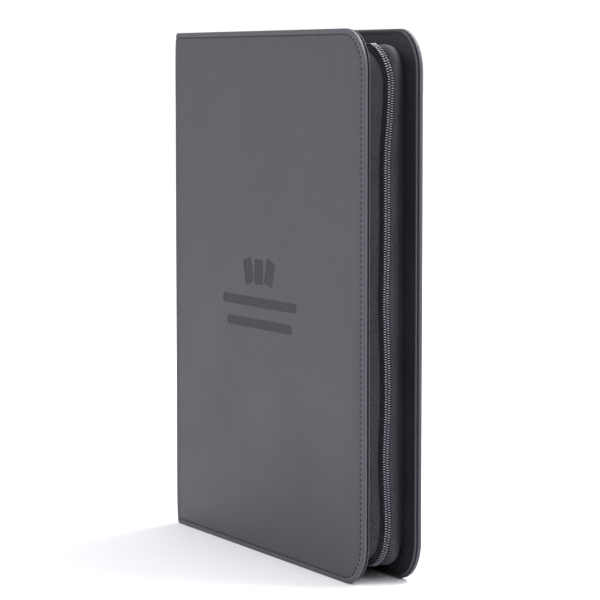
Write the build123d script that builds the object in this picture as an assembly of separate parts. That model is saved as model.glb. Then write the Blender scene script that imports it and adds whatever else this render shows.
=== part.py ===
from build123d import *
import os

# A zip-around trading card binder, closed and standing on its bottom edge.
# Frame: origin under the middle of the binder, X from the spine to the zipped fore edge,
# Y from the front cover to the back cover, Z up. Millimetres.

# ---- driving dimensions ----
HEIGHT = 350.0
WIDTH = 285.0
THICKNESS = 41.0
CORNER_R = 27.0

# layers of a panel, from the outside in
SKIN_T = 0.8
FOAM_T = 1.0
BOARD_T = 1.2
LINING_T = 0.9
ROLL_R = 1.2
LINING_INSET = 0.6

# folds between the spine and the covers
FOLD_R = 2.5
FOLD_GAP = 2.8

# gussets and zipper, as insets from the covers' outline
GUSSET_T = 1.2
GUSSET_FOOT = 19.5
FRONT_GUSSET_RIM = 14.0
FRONT_GUSSET_Y = 4.3
REAR_GUSSET_Y = 4.9
CHAIN_INSET = 9.2
COIL_T = 1.7
COIL_W = 2.65
CHAIN_GAP = 0.35
TAPE_T = 0.5
GUSSET_START = -134.0
COIL_START = -122.5
FRONT_COIL_START = -109.5
CREST_OUT = 6.3
CREST_DROP = 2.2
TAPE_FLAT_Y = 3.3
TAPE_BEND_Y = 3.75
TAPE_SEWN_Y = 9.0
END_TAB_L = 6.0
END_TAB_Y = 3.2
END_TAB_GAP = 0.2
STOP_L = 2.0
STOP_GAP = 0.6
STOP_Y = 3.1
STOP_SIDE_GAP = 0.25
STOP_R = 0.6
STAPLE_T = 0.9
STAPLE_Y = 3.9

# slider and pull tab
SLIDER_X = -116.0
SLIDER_L = 10.0
SLIDER_W = 8.8
INNER_PLATE_W = 4.8
PLATE_T = 1.2
INNER_PLATE_T = 1.1
PLATE_R = 1.4
PLATE_EDGE_R = 0.4
RUN_CLEARANCE = 0.35
FLANGE_CLEARANCE = 0.4
POST_T = 0.3
POST_SINK = 0.2
POST_BACK = 0.5
POST_FRONT = 1.0
CROWN_L = 7.0
CROWN_W = 2.0
CROWN_T = 1.2
CROWN_H = 2.8
CROWN_ROOF_T = 0.8
CROWN_R = 1.0
PIN_DROP = 0.4
PIN_D = 1.0
TAB_L = 30.0
TAB_W = 8.0
TAB_T = 1.2
TAB_R = 3.0
TAB_WINDOW = 4.5
TAB_WINDOW_W = 3.0
TAB_WINDOW_BACK = 1.0
TAB_HOLE_D = 3.0
TAB_HOLE_INSET = 4.0

# pages
PAGE_COUNT = 20
PAGE_PITCH = 1.45
PAGE_T = 0.6
PAGE_BOTTOM = 26.0
PAGE_H = 298.0
PAGE_AXIS_X = -137.0
TONGUE_T = 0.2
TONGUE_L = 8.0
PAGE_FORE_X = 105.0
PAGE_EDGE = 1.5
HINGE_GAP = 0.3
STRIP_GAP = 0.4
STRIP_SIDE_GAP = 0.3
POCKET_ROWS = 3
POCKET_COLUMNS = 3
POCKET_W = 66.0
POCKET_H = 92.0
POCKET_PITCH_X = 69.0
POCKET_PITCH_Z = 97.0
POCKET_DEPTH = 0.1

# emblem pressed into the front cover
EMBLEM_X = -6.0
EMBLEM_Z = 189.5
EMBLEM_SINK = 0.1
EMBLEM_T = 0.2
CARD_W = 12.5
CARD_H = 17.0
CARD_R = 1.6
CARD_GAP = 1.3
CARD_TILT = 16.0
CARD_SHIFT = 16.0
BAR_T = 6.4
BAR_R = 2.6
WIDE_BAR_L = 112.0
WIDE_BAR_DROP = 20.5
NARROW_BAR_L = 98.0
NARROW_BAR_DROP = 35.0

# ---- worked out from the above ----
SPINE_X = -WIDTH / 2
FORE_X = WIDTH / 2
OUT_Y = THICKNESS / 2
FOLD_X = SPINE_X + FOLD_R
FOLD_Y = OUT_Y - FOLD_R
COVER_X = FOLD_X + FOLD_GAP
SPINE_Y = FOLD_Y - FOLD_GAP
FOAM_Y = OUT_Y - SKIN_T
BOARD_Y = FOAM_Y - FOAM_T
LINING_Y = BOARD_Y - BOARD_T
INNER_Y = LINING_Y - LINING_T
PANEL_T = OUT_Y - INNER_Y
TAPE_INSET = CHAIN_INSET + COIL_T
SPINE_INNER_X = SPINE_X + PANEL_T
STOP_X = (COIL_START - STOP_GAP - STOP_L, COIL_START - STOP_GAP)
PLATE_IN = HEIGHT - CHAIN_INSET + RUN_CLEARANCE
PLATE_OUT = PLATE_IN + PLATE_T
PIVOT_Z = PLATE_OUT + CROWN_H / 2 - PIN_DROP


def block(x, y, z):
    """A box between two x, two y and two z values."""
    size = Box(x[1] - x[0], y[1] - y[0], z[1] - z[0])
    return Pos((x[0] + x[1]) / 2, (y[0] + y[1]) / 2, (z[0] + z[1]) / 2) * size


def to_back(part):
    """The same piece on the other side of the binder's middle plane."""
    return mirror(part, about=Plane.XZ)


# ---- covers ----
def cover_face(inset):
    """A cover's outline, drawn in from its top, fore and bottom edges by inset."""
    width = FORE_X - inset - COVER_X
    face = Pos(COVER_X + width / 2, HEIGHT / 2) * Rectangle(width, HEIGHT - 2 * inset)
    fore_corners = face.vertices().group_by(Axis.X)[-1]
    return fillet(fore_corners, CORNER_R - inset)


def cover_sheet(y_out, y_in, inset):
    """A sheet with the front cover's outline, between two distances from the middle plane."""
    face = Pos(0, -y_out, 0) * (Plane.XZ * cover_face(inset))
    return extrude(face, amount=y_out - y_in, dir=(0, 1, 0))


def cover_skin():
    """The outer skin: one sheet whose edge is rolled round the top, fore and bottom edges."""
    skin = cover_sheet(OUT_Y, LINING_Y, 0)
    outer_edges = skin.faces().sort_by(Axis.Y)[0].edges()
    rolled = outer_edges.filter_by(lambda e: e.center().X > COVER_X + 1)
    skin = fillet(rolled, ROLL_R)
    return skin - cover_sheet(FOAM_Y, LINING_Y, SKIN_T)


def emblem_card(tilt, shift):
    """One card of the emblem, tilted and moved sideways."""
    return Pos(shift, 0) * Rot(0, 0, tilt) * RectangleRounded(CARD_W, CARD_H, CARD_R)


def emblem_bar(length, drop):
    """One plain bar of the emblem, below the cards."""
    return Pos(0, -drop) * RectangleRounded(length, BAR_T, BAR_R)


def emblem(depth_out, depth_in):
    """Two tilted cards beside an upright card, with a gap between them, over two plain bars."""
    blank = RectangleRounded(CARD_W + 2 * CARD_GAP, CARD_H + 2 * CARD_GAP, CARD_R)
    sketch = emblem_card(CARD_TILT, -CARD_SHIFT) + emblem_card(-CARD_TILT, CARD_SHIFT)
    sketch = sketch - blank + emblem_card(0, 0)
    sketch += emblem_bar(WIDE_BAR_L, WIDE_BAR_DROP)
    sketch += emblem_bar(NARROW_BAR_L, NARROW_BAR_DROP)
    placed = Pos(EMBLEM_X, -OUT_Y + depth_out, EMBLEM_Z) * (Plane.XZ * sketch)
    return extrude(placed, amount=depth_in - depth_out, dir=(0, 1, 0))


def front_cover():
    """Nodes of the front cover's panel."""
    recess = emblem(0, EMBLEM_SINK + EMBLEM_T)
    return {
        "front_cover_skin": cover_skin() - recess,
        "front_cover_emblem": emblem(EMBLEM_SINK, EMBLEM_SINK + EMBLEM_T),
        "front_cover_padding": cover_sheet(FOAM_Y, BOARD_Y, SKIN_T),
        "front_cover_board": cover_sheet(BOARD_Y, LINING_Y, SKIN_T),
        "front_cover_lining": cover_sheet(LINING_Y, INNER_Y, LINING_INSET),
    }


def back_cover():
    """Nodes of the back cover's panel."""
    return {
        "back_cover_skin": to_back(cover_skin()),
        "back_cover_padding": to_back(cover_sheet(FOAM_Y, BOARD_Y, SKIN_T)),
        "back_cover_board": to_back(cover_sheet(BOARD_Y, LINING_Y, SKIN_T)),
        "back_cover_lining": to_back(cover_sheet(LINING_Y, INNER_Y, LINING_INSET)),
    }


# ---- spine and folds ----
def spine_sheet(depth_out, depth_in, inset):
    """A sheet of the spine's panel, between two depths from the spine's outer face."""
    x = (SPINE_X + depth_out, SPINE_X + depth_in)
    return block(x, (-SPINE_Y, SPINE_Y), (inset, HEIGHT - inset))


def spine():
    """Nodes of the spine's panel and the strip that holds the pages."""
    lining_depth = PANEL_T - LINING_T
    skin = spine_sheet(0, lining_depth, 0) - spine_sheet(SKIN_T, lining_depth, SKIN_T)
    strip_x = (SPINE_INNER_X, PAGE_AXIS_X - STRIP_GAP)
    strip_y = (-SPINE_Y + STRIP_SIDE_GAP, SPINE_Y - STRIP_SIDE_GAP)
    return {
        "spine_skin": skin,
        "spine_padding": spine_sheet(SKIN_T, SKIN_T + FOAM_T, SKIN_T),
        "spine_board": spine_sheet(SKIN_T + FOAM_T, lining_depth, SKIN_T),
        "spine_lining": spine_sheet(lining_depth, PANEL_T, LINING_INSET),
        "page_binding_strip": block(strip_x, strip_y, (PAGE_BOTTOM, PAGE_BOTTOM + PAGE_H)),
    }


def fold_skin():
    """The skin's soft strip round the front fold, from the cover to the spine."""
    sheet = block((SPINE_X, COVER_X), (-OUT_Y, -SPINE_Y), (0, HEIGHT))
    corner = sheet.edges().filter_by(Axis.Z).sort_by(lambda e: e.center().X + e.center().Y)[0]
    sheet = fillet(corner, FOLD_R)
    inside = block((SPINE_X + SKIN_T, COVER_X), (-FOAM_Y, -SPINE_Y), (0, HEIGHT))
    corner = inside.edges().filter_by(Axis.Z).sort_by(lambda e: e.center().X + e.center().Y)[0]
    return sheet - fillet(corner, FOLD_R - SKIN_T)


def fold_lining():
    """The lining's soft strip inside the front fold."""
    z = (LINING_INSET, HEIGHT - LINING_INSET)
    along_cover = block((SPINE_INNER_X - LINING_T, COVER_X), (-LINING_Y, -INNER_Y), z)
    along_spine = block((SPINE_INNER_X - LINING_T, SPINE_INNER_X), (-LINING_Y, -SPINE_Y), z)
    return along_cover + along_spine


def folds():
    """The strips of skin and lining that bend at the two folds."""
    return {
        "front_fold_skin": fold_skin(),
        "front_fold_lining": fold_lining(),
        "rear_fold_skin": to_back(fold_skin()),
        "rear_fold_lining": to_back(fold_lining()),
    }


# ---- gussets and zipper halves ----
def around(start_x, inset):
    """The path along the top, round the fore edge and back along the bottom, at one inset."""
    radius = CORNER_R - inset
    bend_x = FORE_X - CORNER_R
    high_z = HEIGHT - CORNER_R
    reach = radius * 0.5**0.5
    fore_x = bend_x + radius
    upper_mid = (bend_x + reach, 0, high_z + reach)
    lower_mid = (bend_x + reach, 0, CORNER_R - reach)
    path = [
        Line((start_x, 0, HEIGHT - inset), (bend_x, 0, HEIGHT - inset)),
        ThreePointArc((bend_x, 0, HEIGHT - inset), upper_mid, (fore_x, 0, high_z)),
        Line((fore_x, 0, high_z), (fore_x, 0, CORNER_R)),
        ThreePointArc((fore_x, 0, CORNER_R), lower_mid, (bend_x, 0, inset)),
        Line((bend_x, 0, inset), (start_x, 0, inset)),
    ]
    return Wire(path)


def at_start(section, start_x):
    """A section's (y, inset) points, stood on the top run's spine end."""
    return [(start_x, y, HEIGHT - inset) for y, inset in section]


def strip_around(section, start_x):
    """A straight-sided section of (y, inset) points carried round the path."""
    face = make_face(Polyline(*at_start(section, start_x), close=True))
    return sweep(face, path=around(start_x, section[0][1]))


def front_gusset():
    """The front wall: it leans from its foot on the lining out to its folded rim."""
    foot_y = -INNER_Y
    section = [
        (-FRONT_GUSSET_Y, FRONT_GUSSET_RIM),
        (foot_y, GUSSET_FOOT),
        (foot_y, GUSSET_FOOT + GUSSET_T),
        (-FRONT_GUSSET_Y, FRONT_GUSSET_RIM + GUSSET_T),
    ]
    return strip_around(section, GUSSET_START)


def rear_gusset():
    """The rear wall: it bulges outwards beside the zipper and curves in to its foot."""
    rim = (REAR_GUSSET_Y, TAPE_INSET)
    crest = (REAR_GUSSET_Y + CREST_OUT, TAPE_INSET + CREST_DROP)
    foot = (INNER_Y, GUSSET_FOOT + GUSSET_T)
    outer = at_start([rim, crest, foot], GUSSET_START)
    thickness = (0, 0, GUSSET_T)
    inner = [tuple(a - b for a, b in zip(point, thickness)) for point in outer]
    edges = [
        ThreePointArc(*outer),
        Line(outer[2], inner[2]),
        ThreePointArc(*reversed(inner)),
        Line(inner[0], outer[0]),
    ]
    return sweep(make_face(edges), path=around(GUSSET_START, TAPE_INSET))


def front_tape():
    """The front half's tape: flat under the coil, then down a recess to the gusset's inner face."""
    lean = (GUSSET_FOOT - FRONT_GUSSET_RIM) / (INNER_Y - FRONT_GUSSET_Y)
    bend = FRONT_GUSSET_RIM + GUSSET_T + lean * (TAPE_BEND_Y - FRONT_GUSSET_Y)
    sewn = FRONT_GUSSET_RIM + GUSSET_T + lean * (TAPE_SEWN_Y - FRONT_GUSSET_Y)
    section = [
        (-CHAIN_GAP, TAPE_INSET),
        (-TAPE_FLAT_Y, TAPE_INSET),
        (-TAPE_BEND_Y, bend),
        (-TAPE_SEWN_Y, sewn),
        (-TAPE_SEWN_Y, sewn + TAPE_T),
        (-TAPE_FLAT_Y, bend + TAPE_T),
        (TAPE_T - TAPE_FLAT_Y, TAPE_INSET + TAPE_T),
        (-CHAIN_GAP, TAPE_INSET + TAPE_T),
    ]
    return strip_around(section, GUSSET_START)


def flat_strip(y, inset, start_x):
    """A rectangular strip round the path, between two y and two inset values."""
    section = [(y[0], inset[0]), (y[1], inset[0]), (y[1], inset[1]), (y[0], inset[1])]
    return strip_around(section, start_x)


def front_coil():
    """The front half's coil. On the top run it starts clear of the parked slider."""
    y = (-CHAIN_GAP, -CHAIN_GAP - COIL_W)
    coil = flat_strip(y, (CHAIN_INSET, TAPE_INSET), COIL_START)
    at_slider = block((COIL_START - 1, FRONT_COIL_START), (-4, 0), (HEIGHT - TAPE_INSET, HEIGHT))
    return coil - at_slider


def rear_coil():
    """The rear half's coil."""
    y = (CHAIN_GAP, CHAIN_GAP + COIL_W)
    return flat_strip(y, (CHAIN_INSET, TAPE_INSET), COIL_START)


def at_both_ends(x, y, inset):
    """The same small block on the top run and on the bottom run."""
    top = block(x, y, (HEIGHT - inset[1], HEIGHT - inset[0]))
    return [top, block(x, y, inset)]


def end_tabs(side):
    """The patches that close one half's tape at its two ends."""
    x = (GUSSET_START, GUSSET_START + END_TAB_L)
    y = sorted((side * (CHAIN_GAP + END_TAB_GAP), side * END_TAB_Y))
    patches = at_both_ends(x, y, (TAPE_INSET - TAPE_T, TAPE_INSET))
    return Compound(children=patches)


def top_stop(side):
    """The metal stop crimped on one half's tape beyond the parked slider."""
    y = sorted((side * (CHAIN_GAP + STOP_SIDE_GAP), side * STOP_Y))
    stop = block(STOP_X, y, (HEIGHT - TAPE_INSET, HEIGHT - CHAIN_INSET))
    return fillet(stop.edges().filter_by(Axis.Y).group_by(Axis.Z)[-1], STOP_R)


def bottom_stop():
    """The staple over both coils' last teeth, crimped to the rear tape."""
    over = CHAIN_INSET - RUN_CLEARANCE
    bridge = block(STOP_X, (-STOP_Y, STAPLE_Y), (over - STAPLE_T, over))
    leg = block(STOP_X, (END_TAB_Y, STAPLE_Y), (over, TAPE_INSET))
    return bridge + leg


def zipper():
    """Nodes of the gussets and the two zipper halves."""
    rear_tape_y = (CHAIN_GAP, REAR_GUSSET_Y)
    tape = (TAPE_INSET, TAPE_INSET + TAPE_T)
    return {
        "front_gusset": front_gusset(),
        "front_zipper_tape": front_tape(),
        "front_zipper_coil": front_coil(),
        "front_tape_end_tabs": end_tabs(-1),
        "front_top_stop": top_stop(-1),
        "rear_gusset": rear_gusset(),
        "rear_zipper_tape": flat_strip(rear_tape_y, tape, GUSSET_START),
        "rear_zipper_coil": rear_coil(),
        "rear_tape_end_tabs": end_tabs(1),
        "rear_top_stop": top_stop(1),
        "zipper_bottom_stop": bottom_stop(),
    }


# ---- slider and pull tab ----
def plate(length, width, z):
    """A slider plate with rounded corners, between two z values."""
    outline = Pos(SLIDER_X, 0, z[0]) * RectangleRounded(length, width, PLATE_R)
    return extrude(outline, amount=z[1] - z[0])


def slider_body():
    """Outer plate with side flanges, inner plate, and the post between the zipper halves."""
    tape_out = HEIGHT - TAPE_INSET
    tape_in = tape_out - TAPE_T
    body = plate(SLIDER_L, SLIDER_W, (tape_out + RUN_CLEARANCE, PLATE_OUT))
    rim = body.faces().sort_by(Axis.Z)[-1].edges()
    body = fillet(rim, PLATE_EDGE_R)
    run_half = CHAIN_GAP + COIL_W + FLANGE_CLEARANCE
    x = (SLIDER_X - SLIDER_L, SLIDER_X + SLIDER_L)
    body -= block(x, (-run_half, run_half), (tape_out, PLATE_IN))
    inner_z = (tape_in - RUN_CLEARANCE - INNER_PLATE_T, tape_in - RUN_CLEARANCE)
    body += plate(SLIDER_L, INNER_PLATE_W, inner_z)
    post_x = (SLIDER_X - SLIDER_L / 2 + POST_BACK, SLIDER_X - POST_FRONT)
    post_z = (inner_z[1] - POST_SINK, PLATE_IN + POST_SINK)
    return body + block(post_x, (-POST_T / 2, POST_T / 2), post_z)


def slider_crown():
    """The crimped arch on the outer plate that holds the pull tab's pin."""
    x = (SLIDER_X - CROWN_L / 2, SLIDER_X + CROWN_L / 2)
    crown = block(x, (-CROWN_W / 2, CROWN_W / 2), (PLATE_OUT, PLATE_OUT + CROWN_H))
    top_corners = crown.edges().filter_by(Axis.Y).group_by(Axis.Z)[-1]
    crown = fillet(top_corners, CROWN_R)
    gap_x = (x[0] + CROWN_T, x[1] - CROWN_T)
    gap_z = (PLATE_OUT, PLATE_OUT + CROWN_H - CROWN_ROOF_T)
    return crown - block(gap_x, (-CROWN_W, CROWN_W), gap_z)


def pull_tab():
    """A flat tab lying along the chain, with a window round the crown and a pin through it."""
    half_t = TAB_T / 2
    length_x = (SLIDER_X, SLIDER_X + TAB_L)
    z = (PIVOT_Z - half_t, PIVOT_Z + half_t)
    tab = block(length_x, (-TAB_W / 2, TAB_W / 2), z)
    tab = fillet(tab.edges().filter_by(Axis.Z).group_by(Axis.X)[-1], TAB_R)
    eye = Pos(SLIDER_X, 0, PIVOT_Z) * Rot(90, 0, 0) * Cylinder(half_t, TAB_W)
    window_x = (SLIDER_X - TAB_WINDOW_BACK, SLIDER_X + TAB_WINDOW)
    window_y = (-TAB_WINDOW_W / 2, TAB_WINDOW_W / 2)
    tab = tab + eye - block(window_x, window_y, (z[0] - TAB_T, z[1] + TAB_T))
    hole_x = SLIDER_X + TAB_L - TAB_HOLE_INSET
    hang_hole = Pos(hole_x, 0, PIVOT_Z) * Cylinder(TAB_HOLE_D / 2, 3 * TAB_T)
    pin = Pos(SLIDER_X, 0, PIVOT_Z) * Rot(90, 0, 0) * Cylinder(PIN_D / 2, TAB_WINDOW_W + PIN_D)
    return tab - hang_hole + pin


# ---- pages ----
def page(number):
    """One leaf: a thin tongue at the hinge, then a sheet with three by three pockets a side."""
    y = (number - (PAGE_COUNT - 1) / 2) * PAGE_PITCH
    z = (PAGE_BOTTOM, PAGE_BOTTOM + PAGE_H)
    leaf_x = PAGE_AXIS_X + TONGUE_L
    leaf = block((PAGE_AXIS_X + HINGE_GAP, leaf_x), (y - TONGUE_T / 2, y + TONGUE_T / 2), z)
    leaf += block((leaf_x, PAGE_FORE_X), (y - PAGE_T / 2, y + PAGE_T / 2), z)
    first_x = PAGE_FORE_X - PAGE_EDGE - POCKET_PITCH_X * (POCKET_COLUMNS - 0.5)
    first_z = PAGE_BOTTOM + PAGE_H / 2 - POCKET_PITCH_Z * (POCKET_ROWS - 1) / 2
    pockets = [
        Pos(first_x + column * POCKET_PITCH_X, y + side * PAGE_T / 2, first_z + row * POCKET_PITCH_Z)
        * Box(POCKET_W, 2 * POCKET_DEPTH, POCKET_H)
        for column in range(POCKET_COLUMNS)
        for row in range(POCKET_ROWS)
        for side in (-1, 1)
    ]
    return leaf - pockets


def slider():
    """Nodes of the slider and its pull tab."""
    return {
        "slider_body": slider_body(),
        "slider_crown": slider_crown(),
        "pull_tab": pull_tab(),
    }


def pages():
    """The leaves, counted from the front cover."""
    return {f"page_{number + 1:02d}": page(number) for number in range(PAGE_COUNT)}


nodes = front_cover() | back_cover() | spine() | folds() | zipper() | slider() | pages()
os.makedirs("parts", exist_ok=True)
for name, solid in nodes.items():
    export_step(solid, f"parts/{name}.step")
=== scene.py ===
import math

import bmesh
import bpy
import numpy as np
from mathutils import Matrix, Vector


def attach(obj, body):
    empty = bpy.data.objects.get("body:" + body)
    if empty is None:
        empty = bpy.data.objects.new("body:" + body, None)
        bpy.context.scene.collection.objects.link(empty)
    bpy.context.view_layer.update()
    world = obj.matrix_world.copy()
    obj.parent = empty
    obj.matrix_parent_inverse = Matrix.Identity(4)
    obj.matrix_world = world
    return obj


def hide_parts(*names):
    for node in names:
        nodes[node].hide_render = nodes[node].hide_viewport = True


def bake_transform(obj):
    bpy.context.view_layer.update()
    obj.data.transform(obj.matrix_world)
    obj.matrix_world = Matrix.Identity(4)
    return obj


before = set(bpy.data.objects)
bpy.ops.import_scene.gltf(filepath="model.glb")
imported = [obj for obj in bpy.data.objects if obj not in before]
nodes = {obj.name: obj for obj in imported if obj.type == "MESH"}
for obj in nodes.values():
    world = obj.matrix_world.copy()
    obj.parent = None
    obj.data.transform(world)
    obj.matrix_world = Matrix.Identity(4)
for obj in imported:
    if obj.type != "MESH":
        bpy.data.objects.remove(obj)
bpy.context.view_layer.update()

MM = 0.001

# ---- sizes shared with the CAD, in millimetres ----
HEIGHT = 350.0
OUT_Y = 20.5
CORNER_R = 27.0
BEND_X = 115.5
FOLD_X = -140.0
FOLD_Y = 18.0
FOLD_R = 2.5
COVER_X = -137.2
SPINE_Y = 15.2
INNER_Y = 16.6
STITCH_PITCH = 3.6
STITCH_INSET = 3.6
COIL_PITCH = 1.58
GUSSET_START = -134.0
COIL_START = -122.5
FRONT_COIL_START = -109.5
FACE_DEPTH = -0.9
# the first pocket's centre, then (pitch, width) across and up a page
POCKET_X, POCKET_Z = -69.0, 78.0
POCKET_COLUMN = (69.0, 66.0)
POCKET_ROW = (97.0, 92.0)


# ---- mesh helpers ----
def piece(name, points, faces, material):
    """A smooth-shaded mesh object from points in millimetres."""
    mesh = bpy.data.meshes.new(name)
    mesh.from_pydata((np.asarray(points, float) * MM).tolist(), [], faces)
    work = bmesh.new()
    work.from_mesh(mesh)
    bmesh.ops.remove_doubles(work, verts=work.verts, dist=2e-8)
    bmesh.ops.recalc_face_normals(work, faces=work.faces)
    for face in work.faces:
        face.smooth = True
    work.to_mesh(mesh)
    work.free()
    obj = bpy.data.objects.new(name, mesh)
    bpy.context.scene.collection.objects.link(obj)
    mesh.materials.append(material)
    return obj


def sharpen(obj, degrees=35):
    """Keeps edges steeper than the angle crisp."""
    obj.data.set_sharp_from_angle(angle=math.radians(degrees))
    return obj


def mark(obj, name, values):
    """Stores one number for each vertex, for the materials."""
    attribute = obj.data.attributes.new(name, "FLOAT", "POINT")
    attribute.data.foreach_set("value", np.asarray(values, np.float32))


def coords(obj):
    """An object's vertices in millimetres."""
    flat = np.zeros(len(obj.data.vertices) * 3)
    obj.data.vertices.foreach_get("co", flat)
    return flat.reshape(-1, 3) / MM


def ring_faces(rings, sides, first=0):
    """The walls between rings of vertices that follow each other, and a cap at either end."""
    faces = []
    for r in range(rings - 1):
        for k in range(sides):
            a = first + r * sides + k
            b = first + r * sides + (k + 1) % sides
            faces.append((a, b, b + sides, a + sides))
    faces.append(tuple(first + k for k in range(sides)))
    faces.append(tuple(first + (rings - 1) * sides + k for k in range(sides)))
    return faces


def spline(knots, count):
    """Points evenly spread on a smooth curve through the knots (Catmull-Rom)."""
    knots = np.asarray(knots, float)
    padded = np.vstack([2 * knots[0] - knots[1], knots, 2 * knots[-1] - knots[-2]])
    made = []
    for t in np.linspace(0, len(knots) - 1, count):
        i = min(int(t), len(knots) - 2)
        f = t - i
        p0, p1, p2, p3 = padded[i : i + 4]
        slope = p2 - p0
        curve = 2 * p0 - 5 * p1 + 4 * p2 - p3
        twist = 3 * p1 - p0 - 3 * p2 + p3
        made.append(0.5 * (2 * p1 + slope * f + curve * f**2 + twist * f**3))
    return np.array(made)


# ---- the path round the binder's outline ----
# (distance from the fore edge's middle, how far the zipper sits towards the back cover)
SWAY_KNOTS = [(-430, 0), (-330, 0), (-250, 0.3), (-192, 0.1), (-177, -0.8), (-168, -2.0), (-161, -1.6)]
SWAY_KNOTS += [(-154, -0.4), (-145, 0.9), (-134, 1.4), (-96, -0.1), (-64, 1.0), (-40, 0.9)]
SWAY_KNOTS += [(-14, 0.2), (5, -0.3), (44, 0.4), (94, 0.4), (118, 2.0), (134, 2.8), (144, 2.6), (153, 0.4)]
SWAY_KNOTS += [(161, -1.7), (167, -2.1), (173, -1.0), (178, -0.1), (184, 0), (190, 0), (198, 0), (430, 0)]
SWAY_LINE = spline(SWAY_KNOTS, 300)
SWAY_R = 15.0
GUSSET_SEWN_Y = 16.0
ZIPPER_HALF_Y = 4.0


def stations(start, step=1.8, arc_steps=20):
    """Centres and outward normals along the top, round the fore edge and back along the bottom.
    A point at an inset is centre + normal * (CORNER_R - inset)."""
    count = max(2, round((BEND_X - start) / step))
    run = np.linspace(start, BEND_X, count + 1)
    fore = np.linspace(HEIGHT - CORNER_R, CORNER_R, round((HEIGHT - 2 * CORNER_R) / step) + 1)
    turn = np.linspace(math.pi / 2, 0, arc_steps + 1)[1:-1]
    rows = [(x, HEIGHT - CORNER_R, 0, 1) for x in run]
    rows += [(BEND_X, HEIGHT - CORNER_R, math.cos(a), math.sin(a)) for a in turn]
    rows += [(BEND_X, z, 1, 0) for z in fore]
    rows += [(BEND_X, CORNER_R, math.cos(a), -math.sin(a)) for a in reversed(turn)]
    rows += [(x, CORNER_R, 0, -1) for x in reversed(run)]
    return np.array(rows), len(run), len(turn), len(fore)


def along(path, inset):
    """Distance along the path at an inset, for each station."""
    points = path[:, :2] + path[:, 2:] * (CORNER_R - inset)
    steps = np.linalg.norm(np.diff(points, axis=0), axis=1)
    return np.concatenate([[0], np.cumsum(steps)])


def edge_place(path):
    """Signed distance of each station from the middle of the fore edge, positive towards the top."""
    up = path[:, 1] - HEIGHT / 2
    turned = np.arctan2(np.abs(path[:, 3]), path[:, 2])
    return np.sign(up) * (np.abs(up) + SWAY_R * turned + BEND_X - path[:, 0])


def sway(place):
    """How far the zipper wanders sideways, as sewn cloth does, towards the back cover."""
    return np.interp(place, SWAY_LINE[:, 0], SWAY_LINE[:, 1])


def held(y):
    """How much of the sway reaches a point: all of it at the zipper, none at the covers."""
    t = min(1.0, max(0.0, (GUSSET_SEWN_Y - abs(y)) / (GUSSET_SEWN_Y - ZIPPER_HALF_Y)))
    return t * t * (3 - 2 * t)


def sweep(name, section, start, material, step=2.0, wave=None):
    """A closed section of (y, inset) points carried along the path, with its ends capped."""
    path, *_ = stations(start, step)
    place = edge_place(path)
    section = np.asarray(section, float)
    n, k = len(path), len(section)
    points = np.zeros((n, k, 3))
    for j, (y, inset) in enumerate(section):
        reach = CORNER_R - inset + (wave(place, y) if wave else 0)
        points[:, j, 0] = path[:, 0] + path[:, 2] * reach
        points[:, j, 1] = y + sway(place) * held(y)
        points[:, j, 2] = path[:, 1] + path[:, 3] * reach
    return piece(name, points.reshape(-1, 3), ring_faces(n, k), material)


def thick_line(line, thickness, steps=5):
    """A closed section round an open line of (y, inset) points, with round ends."""
    line = np.asarray(line, float)
    tangent = np.gradient(line, axis=0)
    tangent /= np.linalg.norm(tangent, axis=1)[:, None]
    normal = np.stack([-tangent[:, 1], tangent[:, 0]], axis=1)
    half = thickness / 2
    turn = np.linspace(0, math.pi, steps + 1)[1:-1]
    outer = [p + n * half for p, n in zip(line, normal)]
    inner = [p - n * half for p, n in zip(line, normal)]
    head = [line[-1] + normal[-1] * half * math.cos(a) + tangent[-1] * half * math.sin(a) for a in turn]
    tail = [line[0] - normal[0] * half * math.cos(a) - tangent[0] * half * math.sin(a) for a in turn]
    return outer + head + inner[::-1] + tail


# ---- sheets that cover a whole panel ----
def wrapped(s, v, h, side):
    """Points of a sheet that goes round the fold: s along it, v up, h outwards from the outer face."""
    over = np.clip(FOLD_X - s, 0, None)
    turn = np.clip(over / FOLD_R, 0, math.pi / 2)
    past = np.clip(over - FOLD_R * math.pi / 2, 0, None)
    x = np.where(over > 0, FOLD_X - (FOLD_R + h) * np.sin(turn), s)
    y = -(FOLD_Y + (FOLD_R + h) * np.cos(turn)) + past
    return np.stack([x, side * y, v], axis=-1)


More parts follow.
